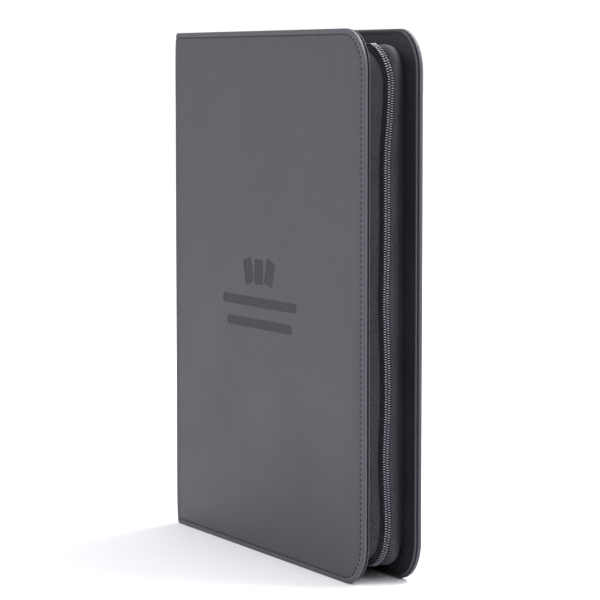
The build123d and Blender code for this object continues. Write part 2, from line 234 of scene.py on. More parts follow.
def panel_sheet(name, profile, start, material, side, relief=None, step=1.8, ends=()):
    """A closed sheet with the cover's outline. The profile lists (inset, depth) from the middle of
    its inner face, round its rim, to the middle of its outer face; both end at the corner radius.
    Relief adds height, and ends moves the first rows, as (row, new x)."""
    path, n_run, n_turn, n_fore = stations(start, step)
    for index, value in ends:
        path[index, 0] = value
        path[len(path) - 1 - index, 0] = value
    rings, n = len(profile), len(path)
    s, v, h, inset = [], [], [], []
    for d, depth in profile:
        reach = CORNER_R - d
        s.append(path[:, 0] + path[:, 2] * reach)
        v.append(path[:, 1] + path[:, 3] * reach)
        h.append(np.full(n, -depth))
        inset.append(np.full(n, d))
    outer_from = next(i for i in range(1, rings) if profile[i][0] > profile[i - 1][0])
    outer = np.repeat([r >= outer_from for r in range(rings)], n)
    xs, zs = path[:n_run, 0], path[n_run + n_turn : n_run + n_turn + n_fore, 1]
    grid_s, grid_v = np.meshgrid(xs[:-1], zs[1:-1], indexing="ij")
    body = grid_s.size
    s = np.concatenate([*s, grid_s.ravel(), grid_s.ravel()])
    v = np.concatenate([*v, grid_v.ravel(), grid_v.ravel()])
    h = np.concatenate([*h, np.full(body, -profile[0][1]), np.full(body, -profile[-1][1])])
    inset = np.concatenate([*inset, np.full(2 * body, CORNER_R)])
    outer = np.concatenate([outer, np.zeros(body, bool), np.ones(body, bool)])
    phase = np.concatenate([np.tile(np.arange(n) % 2, rings), np.zeros(2 * body)])
    if relief:
        h = h + relief(s, v, inset, outer, phase)
    points = wrapped(s, v, h, side)

    def grid(layer):
        """Vertex numbers of the middle of one face of the sheet, edges included."""
        ring = 0 if layer == 0 else rings - 1
        numbers = np.zeros((n_run, n_fore), int)
        numbers[:, 0] = ring * n + np.arange(n_run)
        numbers[-1, :] = ring * n + n_run + n_turn + np.arange(n_fore)
        numbers[:, -1] = ring * n + n - 1 - np.arange(n_run)
        inner = rings * n + layer * body + np.arange(body).reshape(n_run - 1, n_fore - 2)
        numbers[:-1, 1:-1] = inner
        return numbers

    faces = [
        (r * n + i, r * n + i + 1, (r + 1) * n + i + 1, (r + 1) * n + i)
        for r in range(rings - 1)
        for i in range(n - 1)
    ]
    inner_grid, outer_grid = grid(0), grid(1)
    for g in (inner_grid, outer_grid):
        quads = np.stack([g[:-1, :-1], g[1:, :-1], g[1:, 1:], g[:-1, 1:]], axis=-1)
        faces += quads.reshape(-1, 4).tolist()
    first = [r * n for r in range(rings)]
    last = [r * n + n - 1 for r in range(rings)]
    faces += [first, last]
    a, b = inner_grid[0], outer_grid[0]
    faces += [(a[j], a[j + 1], b[j + 1], b[j]) for j in range(n_fore - 1)]
    return piece(name, points, faces, material)


# ---- node helpers ----
def new_material(name):
    """An empty node material: its tree and its Principled shader."""
    material = bpy.data.materials.new(name)
    material.use_nodes = True
    return material, material.node_tree, material.node_tree.nodes["Principled BSDF"]


def node(tree, kind, inputs=None, **settings):
    """A node with its settings and inputs; an input may be a value or another node's socket."""
    made = tree.nodes.new(kind)
    for key, value in settings.items():
        setattr(made, key, value)
    for key, value in (inputs or {}).items():
        if isinstance(value, bpy.types.NodeSocket):
            tree.links.new(value, made.inputs[key])
        else:
            made.inputs[key].default_value = value
    return made


def maths(tree, operation, a, b=0.0):
    """The result socket of a Math node."""
    return node(tree, "ShaderNodeMath", {0: a, 1: b}, operation=operation).outputs[0]


def object_place(tree):
    """Object coordinates, in metres."""
    return node(tree, "ShaderNodeTexCoord").outputs["Object"]


def noise(tree, scale, detail=3.0, rough=0.55, vector=None):
    """A noise texture's value socket."""
    inputs = {"Scale": scale, "Detail": detail, "Roughness": rough, "Vector": vector or object_place(tree)}
    return node(tree, "ShaderNodeTexNoise", inputs).outputs["Fac"]


def ramp(tree, value, low, high, out_low=0.0, out_high=1.0):
    """A value remapped from one range to another, clamped."""
    inputs = {"Value": value, "From Min": low, "From Max": high, "To Min": out_low, "To Max": out_high}
    return node(tree, "ShaderNodeMapRange", inputs).outputs["Result"]


def mix(tree, factor, a, b):
    """A blend of two colours."""
    made = node(tree, "ShaderNodeMix", data_type="RGBA")
    for key, value in ((0, factor), (6, a), (7, b)):
        if isinstance(value, bpy.types.NodeSocket):
            tree.links.new(value, made.inputs[key])
        else:
            made.inputs[key].default_value = value
    return made.outputs[2]


def grey(level, blue=1.06):
    """A slightly cool grey of that linear level."""
    return (level, level * 1.005, level * blue, 1.0)


def bump(tree, shader, layers):
    """Chains height layers of (value, metres) into the shader's normal."""
    normal = None
    for height, distance in layers:
        inputs = {"Height": height, "Distance": distance, "Strength": 1.0}
        made = node(tree, "ShaderNodeBump", inputs)
        if normal:
            tree.links.new(normal, made.inputs["Normal"])
        normal = made.outputs["Normal"]
    tree.links.new(normal, shader.inputs["Normal"])


def waves(tree, axis, period):
    """A sine between 0 and 1 along one object axis, with that period in millimetres."""
    parts = node(tree, "ShaderNodeSeparateXYZ", {"Vector": object_place(tree)})
    turns = maths(tree, "MULTIPLY", parts.outputs[axis], 2 * math.pi / (period * MM))
    return ramp(tree, maths(tree, "SINE", turns), -1.0, 1.0)


def attribute(tree, name):
    """A vertex number stored by mark()."""
    return node(tree, "ShaderNodeAttribute", attribute_name=name).outputs["Fac"]


def fabric_weave(tree, period):
    """Threads that cross over and under each other, on faces that look along Y."""
    across, up = waves(tree, "X", period), waves(tree, "Z", period)
    return maths(tree, "ABSOLUTE", maths(tree, "SUBTRACT", across, up))


# ---- materials ----
def skin_material():
    """Coated cover fabric: a fine cross grain, faint clouding, and paler at its rim."""
    material, tree, shader = new_material("cover_skin")
    grain = noise(tree, 2600, 4, 0.6)
    weave = fabric_weave(tree, 0.9)
    clouds = noise(tree, 14, 3)
    mottle = noise(tree, 650, 3, 0.7)
    flecks = ramp(tree, grain, 0.3, 0.75, 0.0, 1.0)
    shade = mix(tree, flecks, grey(0.030, 1.3), grey(0.042, 1.3))
    shade = mix(tree, ramp(tree, mottle, 0.35, 0.65, 0.0, 0.75), shade, grey(0.018, 1.3))
    shade = mix(tree, ramp(tree, clouds, 0.35, 0.7, 0.0, 0.25), shade, grey(0.042, 1.3))
    rim = maths(tree, "MULTIPLY", attribute(tree, "rim"), 0.5)
    shade = mix(tree, rim, shade, grey(0.058, 1.26))
    tree.links.new(shade, shader.inputs["Base Color"])
    tree.links.new(ramp(tree, clouds, 0.3, 0.7, 0.5, 0.6), shader.inputs["Roughness"])
    shader.inputs["Specular IOR Level"].default_value = 0.35
    shader.inputs["Sheen Weight"].default_value = 0.05
    shader.inputs["Sheen Roughness"].default_value = 0.5
    bump(tree, shader, [(weave, 0.00004), (mottle, 0.00008), (grain, 0.00006)])
    return material


def lining_material(name, low, high, edge, period=0.7):
    """Fine woven nylon."""
    material, tree, shader = new_material(name)
    weave = fabric_weave(tree, period)
    fuzz = noise(tree, 1900, 3)
    slubs = noise(tree, 700, 3, 0.7)
    shade = mix(tree, weave, grey(low, 1.25), grey(high, 1.25))
    shade = mix(tree, ramp(tree, slubs, 0.4, 0.6, 0.0, 0.75), shade, grey(low * 0.45, 1.25))
    shade = mix(tree, ramp(tree, noise(tree, 30, 2), 0.35, 0.7, 0.0, 0.3), shade, grey(high * 1.15, 1.2))
    # painted highlight on the rolled edge and painted light near the top, from the rim attribute
    shade = mix(tree, attribute(tree, "rim"), shade, grey(edge, 1.2))
    tree.links.new(shade, shader.inputs["Base Color"])
    tree.links.new(ramp(tree, fuzz, 0.3, 0.7, 0.55, 0.75), shader.inputs["Roughness"])
    shader.inputs["Specular IOR Level"].default_value = 0.22
    bump(tree, shader, [(weave, 0.00006), (slubs, 0.0001), (fuzz, 0.00005)])
    return material


def tape_material():
    """Twill tape: slanted ribs along the run."""
    material, tree, shader = new_material("zipper_tape")
    parts = node(tree, "ShaderNodeSeparateXYZ", {"Vector": object_place(tree)})
    run = maths(tree, "ADD", parts.outputs["X"], parts.outputs["Z"])
    slant = maths(tree, "ADD", run, parts.outputs["Y"])
    turns = maths(tree, "MULTIPLY", slant, 2 * math.pi / (0.8 * MM))
    ribs = ramp(tree, maths(tree, "SINE", turns), -1.0, 1.0)
    fuzz = noise(tree, 2200, 3)
    shade = mix(tree, ribs, grey(0.020, 1.25), grey(0.036, 1.25))
    tree.links.new(shade, shader.inputs["Base Color"])
    tree.links.new(ramp(tree, fuzz, 0.3, 0.7, 0.6, 0.85), shader.inputs["Roughness"])
    shader.inputs["Specular IOR Level"].default_value = 0.25
    bump(tree, shader, [(ribs, 0.00012), (fuzz, 0.00005)])
    return material


def coil_material():
    """Drawn nylon wire, glossy, with a faint draw grain, painted lit on its tops and painted near-black in
    its shade.
    """
    material, tree, shader = new_material("zipper_coil")
    fine = noise(tree, 900, 2)
    shade = mix(tree, fine, grey(0.13, 1.25), grey(0.19, 1.25))
    # painted light and shade: the wire's own grey where it is painted lit, near-black painted shade
    # elsewhere
    shade = mix(tree, attribute(tree, "painted_light"), grey(0.002, 1.2), shade)
    tree.links.new(shade, shader.inputs["Base Color"])
    tree.links.new(ramp(tree, fine, 0.3, 0.7, 0.2, 0.3), shader.inputs["Roughness"])
    shader.inputs["Specular IOR Level"].default_value = 0.4
    shader.inputs["Coat Weight"].default_value = 0.2
    shader.inputs["Coat Roughness"].default_value = 0.15
    bump(tree, shader, [(fine, 0.00002)])
    return material


def metal_material():
    """Dark plated zinc with fine tumbling scratches."""
    material, tree, shader = new_material("slider_metal")
    scratch = noise(tree, 700, 6, 0.7)
    shade = mix(tree, scratch, grey(0.16), grey(0.3))
    tree.links.new(shade, shader.inputs["Base Color"])
    tree.links.new(ramp(tree, scratch, 0.3, 0.7, 0.22, 0.42), shader.inputs["Roughness"])
    shader.inputs["Metallic"].default_value = 1.0
    bump(tree, shader, [(scratch, 0.00002)])
    return material


def emblem_material():
    """Heat-pressed skin: darker, tighter and duller than the skin round it."""
    material, tree, shader = new_material("emblem")
    grain = noise(tree, 1500, 3)
    tree.links.new(mix(tree, grain, grey(0.028, 1.3), grey(0.038, 1.3)), shader.inputs["Base Color"])
    tree.links.new(ramp(tree, grain, 0.3, 0.7, 0.6, 0.7), shader.inputs["Roughness"])
    shader.inputs["Specular IOR Level"].default_value = 0.17
    bump(tree, shader, [(grain, 0.00002)])
    return material


def thread_material():
    """Bonded sewing thread with a fine twist."""
    material, tree, shader = new_material("thread")
    twist = noise(tree, 2400, 2)
    tree.links.new(mix(tree, twist, grey(0.004), grey(0.010)), shader.inputs["Base Color"])
    tree.links.new(ramp(tree, twist, 0.3, 0.7, 0.75, 0.9), shader.inputs["Roughness"])
    shader.inputs["Specular IOR Level"].default_value = 0.1
    bump(tree, shader, [(twist, 0.00006)])
    return material


def cell_edge(tree, socket, first, pitch, width):
    """1 between the pockets of a row and 0 over them: their centres, pitch and width in millimetres."""
    moved = maths(tree, "SUBTRACT", socket, (first - pitch / 2) * MM)
    turn = maths(tree, "FRACT", maths(tree, "DIVIDE", moved, pitch * MM))
    away = maths(tree, "ABSOLUTE", maths(tree, "SUBTRACT", turn, 0.5))
    half = width / 2 / pitch
    return ramp(tree, away, half - 0.002, half + 0.002)


def film_material():
    """Pocket film over black backing: glossy and faintly rippled, matt and paler at the welds."""
    material, tree, shader = new_material("page_film")
    ripple = noise(tree, 18, 2)
    haze = noise(tree, 160, 2)
    parts = node(tree, "ShaderNodeSeparateXYZ", {"Vector": object_place(tree)})
    columns = cell_edge(tree, parts.outputs["X"], POCKET_X, *POCKET_COLUMN)
    rows = cell_edge(tree, parts.outputs["Z"], POCKET_Z, *POCKET_ROW)
    weld = maths(tree, "MAXIMUM", columns, rows)
    clear = mix(tree, haze, grey(0.020, 1.15), grey(0.027, 1.15))
    tree.links.new(mix(tree, weld, clear, grey(0.052, 1.15)), shader.inputs["Base Color"])
    gloss = ramp(tree, haze, 0.3, 0.7, 0.24, 0.32)
    tree.links.new(maths(tree, "ADD", gloss, maths(tree, "MULTIPLY", weld, 0.3)), shader.inputs["Roughness"])
    shader.inputs["Coat Weight"].default_value = 0.2
    shader.inputs["Coat Roughness"].default_value = 0.15
    bump(tree, shader, [(ripple, 0.00015), (weld, 0.00012)])
    return material


def board_material():
    """Recycled greyboard: speckled pulp."""
    material, tree, shader = new_material("greyboard")
    pulp = noise(tree, 900, 4, 0.7)
    shade = mix(tree, pulp, (0.2, 0.18, 0.16, 1), (0.36, 0.34, 0.31, 1))
    tree.links.new(shade, shader.inputs["Base Color"])
    tree.links.new(ramp(tree, pulp, 0.3, 0.7, 0.8, 0.95), shader.inputs["Roughness"])
    bump(tree, shader, [(pulp, 0.0001)])
    return material


def foam_material():
    """Closed-cell foam sheet."""
    material, tree, shader = new_material("padding_foam")
    inputs = {"Scale": 1600.0, "Vector": object_place(tree)}
    cells = node(tree, "ShaderNodeTexVoronoi", inputs).outputs["Distance"]
    tree.links.new(mix(tree, cells, grey(0.05), grey(0.12)), shader.inputs["Base Color"])
    tree.links.new(ramp(tree, cells, 0.0, 0.6, 0.75, 0.95), shader.inputs["Roughness"])
    bump(tree, shader, [(cells, 0.0001)])
    return material


SKIN = skin_material()
LINING = lining_material("lining", 0.0175, 0.0285, 0.055)
GUSSET = lining_material("gusset_skin", 0.026, 0.041, 0.01, 0.9)
TAPE = tape_material()
COIL = coil_material()
METAL = metal_material()
EMBLEM = emblem_material()
THREAD = thread_material()
FILM = film_material()
BOARD = board_material()
FOAM = foam_material()


# ---- cover skins ----
# (inset, depth from the CAD's outer face), from the middle of the inner face round the rim
SKIN_PROFILE = [
    (27, 0.0),
    (20, 0.05),
    (12, 0.3),
    (7, 0.55),
    (4.9, 0.7),
    (3.0, 0.7),
    (1.9, 0.8),
    (1.2, 1.1),
    (1.2, 1.4),
    (1.9, 1.55),
    (2.6, 1.7),
    (2.75, 2.2),
    (2.75, 2.96),
    (2.5, 2.96),
    (2.4, 2.3),
    (2.0, 2.12),
    (1.0, 2.1),
    (0.3, 2.08),
    (0.08, 1.92),
    (0.0, 1.65),
    (0.0, 0.6),
    (0.06, 0.2),
    (0.18, -0.02),
    (0.3, -0.08),
    (0.42, -0.26),
    (0.7, -0.38),
    (1.2, -0.42),
    (2.1, -0.44),
    (2.9, -0.42),
    (3.3, -0.34),
    (3.6, -0.26),
    (3.9, -0.34),
    (4.4, -0.46),
    (5.6, -0.56),
    (8, -0.68),
    (10.5, -0.76),
    (14, -0.83),
    (19, -0.87),
    (27, FACE_DEPTH),
]
FOLD_END = FOLD_X - FOLD_R * math.pi / 2
SEAM_Y = 15.0
A_START = FOLD_END - (FOLD_Y - SEAM_Y)
B_START = FOLD_END - (FOLD_Y + SEAM_Y - 0.1)


# heights of the puckers between stitches, the spine's padding, the bead beside the fold, the seam
PUCKER = 0.3
CROWN = 0.7
PUFF = 0.5
SEAM_ROLL = 0.35


def skin_relief(start):
    """Stitch puckers, soft hand-made unevenness, the spine's padding and the seam's rolled edge."""

    def relief(s, v, inset, outer, phase):
        near = np.exp(-(((inset - STITCH_INSET) / 0.8) ** 2))
        pucker = PUCKER * (0.4 - phase) * near * outer
        uneven = 0.05 * np.sin(s / 31 + 0.6) * np.sin(v / 43 + 1.1) + 0.04 * np.sin(s / 57 - v / 71)
        middle = np.clip((inset - 4) / 8, 0, 1)
        spine_pos = np.clip((FOLD_END - s) / (2 * FOLD_Y), 0, 1)
        crown = CROWN * np.sin(math.pi * spine_pos) ** 0.8 * (FOLD_END > s)
        crown *= np.clip((inset - 3.5) / 6, 0, 1)
        beside = np.exp(-(((s - FOLD_X + 1.8) / 3.2) ** 2))
        puff = PUFF * beside * np.clip((inset - 0.5) / 2, 0, 1) * outer
        seam = SEAM_ROLL * np.exp(-((s - start) / 0.5)) * outer
        return pucker + uneven * middle + crown + puff - seam

    return relief


def inset_of(p):
    """How far points are inside the cover's outline."""
    edge = np.minimum(p[:, 2], HEIGHT - p[:, 2])
    out = p[:, 0] - BEND_X
    up = np.maximum(np.abs(p[:, 2] - HEIGHT / 2) - (HEIGHT / 2 - CORNER_R), 0)
    corner = CORNER_R - np.hypot(np.maximum(out, 0), up)
    return np.where(out > 0, corner, edge)


# extra rows of points near the spine's seam: (row, distance from the seam)
SEAM_SAMPLES = [(0, 0.0), (1, 0.25), (2, 0.9)]
RIM_END, RIM_FADE = 3.9, 0.6


def cover_skin(name, start, side, replaced):
    """A cover's skin, continued round the fold onto the spine."""
    ends = [(i, start + extra) for i, extra in SEAM_SAMPLES]
    skin = panel_sheet(name, SKIN_PROFILE, start, SKIN, side, skin_relief(start), ends=ends)
    mark(skin, "rim", np.clip((RIM_END - inset_of(coords(skin))) / RIM_FADE, 0, 1))
    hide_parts(*replaced)
    return skin


front_skin = cover_skin("front_skin", A_START, 1, ["front_cover_skin", "front_fold_skin"])
back_skin = cover_skin("back_skin", B_START, -1, ["back_cover_skin", "rear_fold_skin", "spine_skin"])


# ---- emblem ----
EMBLEM_X, EMBLEM_Z = -6.0, 189.5
CARD_W, CARD_H, CARD_R, CARD_GAP = 12.5, 17.0, 1.6, 1.3
CARD_TILT, CARD_SHIFT = 16.0, 16.0
BAR_T, BAR_R = 6.4, 2.6
# (length, height above the cards' middle)
BARS = [(112.0, -20.5), (98.0, -35.0)]
RECESS, CUTTER_OVER = 0.3, 2.0
PRESSED_T, PRESSED_SINK = 0.12, 0.05


def plate_loop(width, height, radius, shift=0.0, tilt=0.0, lift=0.0, steps=6):
    """A rounded rectangle's outline on the front face, as (x, z) points."""
    centres = [(1, 1, 0), (-1, 1, 90), (-1, -1, 180), (1, -1, 270)]
    points = []
    for sx, sz, first in centres:
        for a in np.radians(np.linspace(first, first + 90, steps + 1)):
            x = sx * (width / 2 - radius) + radius * math.cos(a)
            z = sz * (height / 2 - radius) + radius * math.sin(a)
            points.append((x, z))
    c, s = math.cos(math.radians(tilt)), math.sin(math.radians(tilt))
    return [(EMBLEM_X + shift + c * x - s * z, EMBLEM_Z + lift + s * x + c * z) for x, z in points]


def prism(name, loop, y_out, y_in, material):
    """A plate with that outline on the front face."""
    n = len(loop)
    points = [(x, -y_out, z) for x, z in loop] + [(x, -y_in, z) for x, z in loop]
    faces = [tuple(range(n)), tuple(range(n, 2 * n))]
    faces += [(i, (i + 1) % n, n + (i + 1) % n, n + i) for i in range(n)]
    return piece(name, points, faces, material)


def boolean(obj, other, operation):
    """Changes an object by a boolean and removes the other one."""
    cut = obj.modifiers.new("cut", "BOOLEAN")
    cut.operation, cut.solver, cut.object = operation, "EXACT", other
    mesh = bpy.data.meshes.new_from_object(obj.evaluated_get(bpy.context.evaluated_depsgraph_get()))
    obj.modifiers.clear()
    obj.data = mesh
    bpy.data.objects.remove(other)


def emblem_shape(name, y_out, y_in):
    """Two tilted cards beside an upright card, with a gap between them, over two plain bars,
    from one depth to another."""

    def plate(width, height, radius, extra=0.0, **place_at):
        loop = plate_loop(width, height, radius, **place_at)
        return prism("plate", loop, y_out + extra, y_in - extra, EMBLEM)

    shape = plate(CARD_W, CARD_H, CARD_R, shift=-CARD_SHIFT, tilt=CARD_TILT)
    boolean(shape, plate(CARD_W, CARD_H, CARD_R, shift=CARD_SHIFT, tilt=-CARD_TILT), "UNION")
    blank = plate(CARD_W + 2 * CARD_GAP, CARD_H + 2 * CARD_GAP, CARD_R, extra=1.0)
    boolean(shape, blank, "DIFFERENCE")
    boolean(shape, plate(CARD_W, CARD_H, CARD_R), "UNION")
    for length, lift in BARS:
        boolean(shape, plate(length, BAR_T, BAR_R, lift=lift), "UNION")
    shape.name = name
    return shape


face_y = OUT_Y - FACE_DEPTH
recess = emblem_shape("recess", face_y + CUTTER_OVER, face_y - RECESS)
boolean(front_skin, recess, "DIFFERENCE")
front_skin.data.materials.clear()
front_skin.data.materials.append(SKIN)
for polygon in front_skin.data.polygons:
    polygon.material_index = 0
sharpen(front_skin, 40)
recess_y = face_y - RECESS
emblem = emblem_shape("front_emblem", recess_y + PRESSED_T, recess_y - PRESSED_SINK)
sharpen(emblem)
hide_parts("front_cover_emblem")
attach(emblem, "front_cover")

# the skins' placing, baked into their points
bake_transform(front_skin)
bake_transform(back_skin)


# ---- stitches ----
STITCH_GIRTH, STITCH_FLATNESS = 0.56, 0.45
STITCH_HALF_L, STITCH_ARCH = 0.95, 0.12
STITCH_DEPTH = -0.2


def stitches(name, start, side, inset, depth):
    """A row of short thread loops sunk in the groove round a panel."""
    path, *_ = stations(start, STITCH_PITCH, arc_steps=10)
    reach = CORNER_R - inset
    s = path[:, 0] + path[:, 2] * reach
    v = path[:, 1] + path[:, 3] * reach
    line = np.stack([s, v], axis=1)
    mids, ways = (line[1:] + line[:-1]) / 2, line[1:] - line[:-1]
    ways /= np.linalg.norm(ways, axis=1)[:, None]
    rings, sides = 7, 6
    points, faces = [], []
    # each stitch is a short tube, thin at its ends, along the groove
    for (ms, mv), (ws, wv) in zip(mids, ways):
        first = len(points)
        for r in range(rings):
            t = -1 + 2 * r / (rings - 1)
            girth = STITCH_GIRTH * math.sqrt(max(0.02, 1 - abs(t) ** 3))
            rise = STITCH_ARCH * (1 - t * t)
            reach_s, reach_v = ws * t * STITCH_HALF_L, wv * t * STITCH_HALF_L
            for k in range(sides):
                a = 2 * math.pi * k / sides
                across = girth * math.cos(a)
                h = -depth + rise + STITCH_FLATNESS * girth * math.sin(a)
                points.append((ms + reach_s - wv * across, mv + reach_v + ws * across, h))
        faces += ring_faces(rings, sides, first)
    points = np.array(points)
    placed = wrapped(points[:, 0], points[:, 1], points[:, 2], side)
    return piece(name, placed, faces, THREAD)


front_stitches = stitches("front_stitches", A_START, 1, STITCH_INSET, STITCH_DEPTH)
back_stitches = stitches("back_stitches", B_START, -1, STITCH_INSET, STITCH_DEPTH)
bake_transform(front_stitches)
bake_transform(back_stitches)


# ---- linings ----
# (inset, depth from the CAD's outer face), round the rolled edge from one face to the other
LINING_PROFILE = [
    (27, 3.02),
    (3.6, 3.02),
    (2.6, 3.2),
    (1.6, 3.45),
    (0.9, 3.5),
    (0.6, 3.62),
    (0.48, 3.85),
    (0.55, 4.1),
    (0.85, 4.24),
    (1.4, 4.28),
    (2.2, 4.2),
    (3.0, 4.02),
    (3.6, 3.88),
    (4.4, 3.92),
    (27, 3.9),
]
# painted highlight along the linings' rolled edges, and painted light near their tops: where each begins and
# how far it fades in
EDGE_END, EDGE_FADE = 2.0, 0.6
PAINTED_TOP_LIGHT, PAINTED_TOP_FROM, PAINTED_TOP_OVER = 0.4, 330.0, 14.0


def panel_lining(name, side, body, replaced):
    """A cover's lining, with a rolled edge, a painted highlight on that edge and painted light near its top.
    """
    lining = panel_sheet(name, LINING_PROFILE, COVER_X, LINING, side, step=3.6)
    p = coords(lining)
    # painted highlight on the rolled edge, and painted light near the top, kept in the rim attribute
    edge = np.clip((EDGE_END - inset_of(p)) / EDGE_FADE, 0, 1)
    painted_top = PAINTED_TOP_LIGHT * np.clip((p[:, 2] - PAINTED_TOP_FROM) / PAINTED_TOP_OVER, 0, 1)
    mark(lining, "rim", np.maximum(edge, painted_top))
    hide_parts(replaced)
    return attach(lining, body)


panel_lining("front_lining", 1, "front_cover", "front_cover_lining")
panel_lining("back_lining", -1, "back_cover", "back_cover_lining")


def lining_strip(name, outer, inner, side=1):
    """A lining strip between the covers' linings, with the same rolled top and bottom edges.
    Outer and inner are matching rows of (x, y) points on its two faces."""
    outer, inner = np.asarray(outer, float), np.asarray(inner, float)
    way = (inner - outer) / np.linalg.norm(inner - outer, axis=1)[:, None]
    section = LINING_PROFILE[1:-1]
    levels = [(HEIGHT - d, depth) for d, depth in section] + [(d, depth) for d, depth in section[::-1]]
    points = []
    for o, w in zip(outer, way):
        for z, depth in levels:
            x, y = o + w * (depth - LINING_PROFILE[0][1])
            points.append((x, side * y, z))
    faces = ring_faces(len(outer), len(levels))
    lining = sharpen(piece(name, points, faces, LINING), 60)
    # painted highlight on the rolled top and bottom edges
    mark(lining, "rim", np.clip((EDGE_END - inset_of(coords(lining))) / EDGE_FADE, 0, 1))
    return lining


# a fold strip's two faces, as (x, y) from the cover's lining round to the spine's
FOLD_OUTER = [(COVER_X, -17.48), (-138.6, -17.46), (-139.25, -17.2), (-139.48, -16.6), (-139.5, -SPINE_Y)]
FOLD_INNER = [(COVER_X, -16.62), (-138.0, -16.6), (-138.35, -16.5), (-138.58, -16.1), (-138.6, -SPINE_Y)]
for name, side, cover in (("front", 1, "front_cover"), ("rear", -1, "back_cover")):
    strip = lining_strip(f"{name}_fold_strip", FOLD_OUTER, FOLD_INNER, side)
    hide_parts(f"{name}_fold_lining")
    start = (COVER_X * MM, side * -INNER_Y * MM, HEIGHT / 2 * MM)
    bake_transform(strip)

across = np.linspace(-SPINE_Y, SPINE_Y, 12)
spine_strip = lining_strip("spine_strip", [(-139.48, y) for y in across], [(-138.6, y) for y in across])
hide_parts("spine_lining")
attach(spine_strip, "spine")


# ---- boards ----
# (inset, depth from the CAD's outer face)
BOARD_PROFILE = [(27, 3.0), (3.2, 3.0), (3.0, 2.9), (3.0, 1.9), (3.2, 1.82), (27, 1.82)]
for name, side, body in (("front", 1, "front_cover"), ("back", -1, "back_cover")):
    board = panel_sheet(f"{name}_board", BOARD_PROFILE, COVER_X, BOARD, side, step=9.0)
    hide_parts(f"{name}_cover_board")
    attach(sharpen(board, 30), body)


def slab(name, low, high, radius, material):
    """A block with rounded edges, between two corners."""
    work = bmesh.new()
    bmesh.ops.create_cube(work, size=1)
    low, high = np.array(low, float), np.array(high, float)
    for v in work.verts:
        v.co = Vector((low + (np.array(v.co) + 0.5) * (high - low)) * MM)
    bmesh.ops.bevel(work, geom=work.edges[:], offset=radius * MM, segments=3, affect="EDGES", profile=0.5)
    for face in work.faces:
        face.smooth = True
    mesh = bpy.data.meshes.new(name)
    work.to_mesh(mesh)
    work.free()
    mesh.materials.append(material)
    obj = bpy.data.objects.new(name, mesh)
    bpy.context.scene.collection.objects.link(obj)
    return obj


SPINE_BOARD_LOW, SPINE_BOARD_HIGH = (-140.68, -14.9, 3.2), (-139.52, 14.9, 346.8)
spine_board = slab("spine_board_core", SPINE_BOARD_LOW, SPINE_BOARD_HIGH, 0.3, BOARD)
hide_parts("spine_board")
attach(spine_board, "spine")


# ---- gussets ----
GUSSET_T = 1.15
GUSSET_CREST_Y = 3.0
CORNER_PLACE, CORNER_WIDTH = 160.0, 11.0
GATHER, GATHER_PITCH = 0.12, 1.5


def soft_wave(amount, seed, corner=0.0):
    """Slow unevenness along a sewn wall, and at the two corners its gathers and its fuller shape."""

    def wave(place, y):
        across = (abs(y) - GUSSET_CREST_Y) / (GUSSET_SEWN_Y - GUSSET_CREST_Y)
        share = math.sin(math.pi * min(1.0, max(0.0, across)))
        slow = np.sin(place / 23 + seed) + 0.6 * np.sin(place / 9.1 + 2 * seed)
        near = np.exp(-(((np.abs(place) - CORNER_PLACE) / CORNER_WIDTH) ** 2))
        gather = GATHER * near * np.sin(place / GATHER_PITCH + seed)
        return share * (amount * slow + gather + corner * near)

    return wave


FRONT_GUSSET_KNOTS = [(-3.35, 13.9), (-7.2, 14.8), (-12.2, 17.4), (-16.1, 20.1)]
section = thick_line(spline(FRONT_GUSSET_KNOTS, 14), GUSSET_T)
wave = soft_wave(0.10, 1.3, 0.6)
front_gusset = sweep("front_wall", section, GUSSET_START, GUSSET, wave=wave)
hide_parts("front_gusset")
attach(front_gusset, "front_cover")

REAR_GUSSET_KNOTS = [(3.4, 11.5), (6.6, 11.8), (9.8, 13.1), (12.4, 15.2), (14.5, 17.0), (16.1, 18.0)]
section = thick_line(spline(REAR_GUSSET_KNOTS, 20), GUSSET_T)
wave = soft_wave(0.12, 0.4, 3.7)
rear_gusset = sweep("rear_wall", section, GUSSET_START, GUSSET, wave=wave)
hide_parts("rear_gusset")
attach(rear_gusset, "back_cover")


# ---- zipper ----
COIL_INSET = 10.0
# the helix's middle and half width across the zipper, and its half height
COIL_MID, COIL_REACH, COIL_RISE = 1.37, 1.06, 0.5
# powers under 1 flatten the helix's round turns into straight legs
LEG_POWER, HEAD_POWER = 0.55, 0.35
TOP_LEAN = 0.15
WIRE_R = 0.41
CORD_Y, CORD_R, CORD_LIFT = 2.15, 0.17, 0.92
# painted light and shade on the wire: painted lit above this height, less outside the sewing line, and more
# at the corners; painted near-black shade below it
PAINTED_LIGHT_HEIGHT, PAINTED_LIGHT_FADE, PAINTED_LIGHT_OUTSIDE = 0.58, 0.25, 0.6
BEND_PLACE, BEND_WIDTH, BEND_PAINTED_LIGHT = 180.0, 10.0, 0.55
TAPE_T = 0.46


